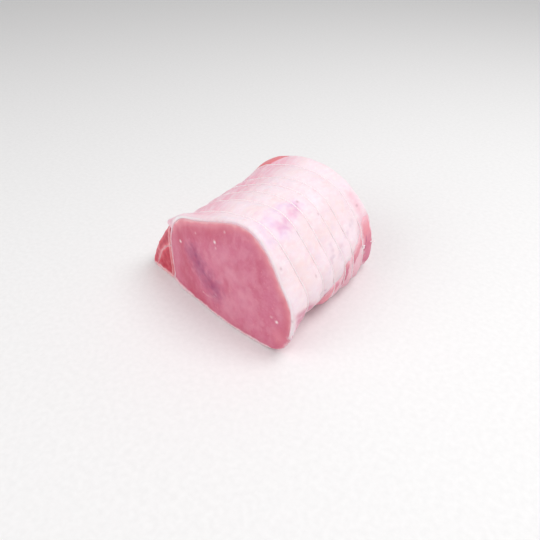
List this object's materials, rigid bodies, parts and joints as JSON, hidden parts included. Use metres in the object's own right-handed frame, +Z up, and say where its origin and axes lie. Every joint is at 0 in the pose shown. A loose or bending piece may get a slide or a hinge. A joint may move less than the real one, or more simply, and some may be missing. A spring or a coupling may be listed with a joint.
{
  "type": "raw boneless pork collar roast",
  "caption": "Short raw boneless pork roast, cut square at both ends, with a smooth white fat cap over pink lean, a white seam between the muscles and tied string loops.",
  "frame": {"origin": "middle of the bounding box, on the surface that the roast lies on", "axes": "+Y along the roast, from the shown cut face to the rear one, +X to the right seen from the shown face, +Z up"},
  "size_m": [0.132, 0.1246, 0.0714],
  "materials": {
    "lean": "moist raw pork, pink, with a soft sheen and fine grain",
    "dark_lean": "moist raw pork, deep red",
    "outer_lean": "moist raw pork, salmon red, with pale edges",
    "fat": "smooth white back fat with a pink tint and a satin sheen",
    "string": "thin twisted cotton string"
  },
  "bodies": {
    "root": {"eye_muscle": "lean", "side_muscle": "dark_lean", "flap_muscle": "outer_lean", "fat_cap": "fat", "string_1": "string", "string_2": "string", "string_3": "string", "string_4": "string", "string_5": "string", "string_6": "string"}
  },
  "joints": []
}
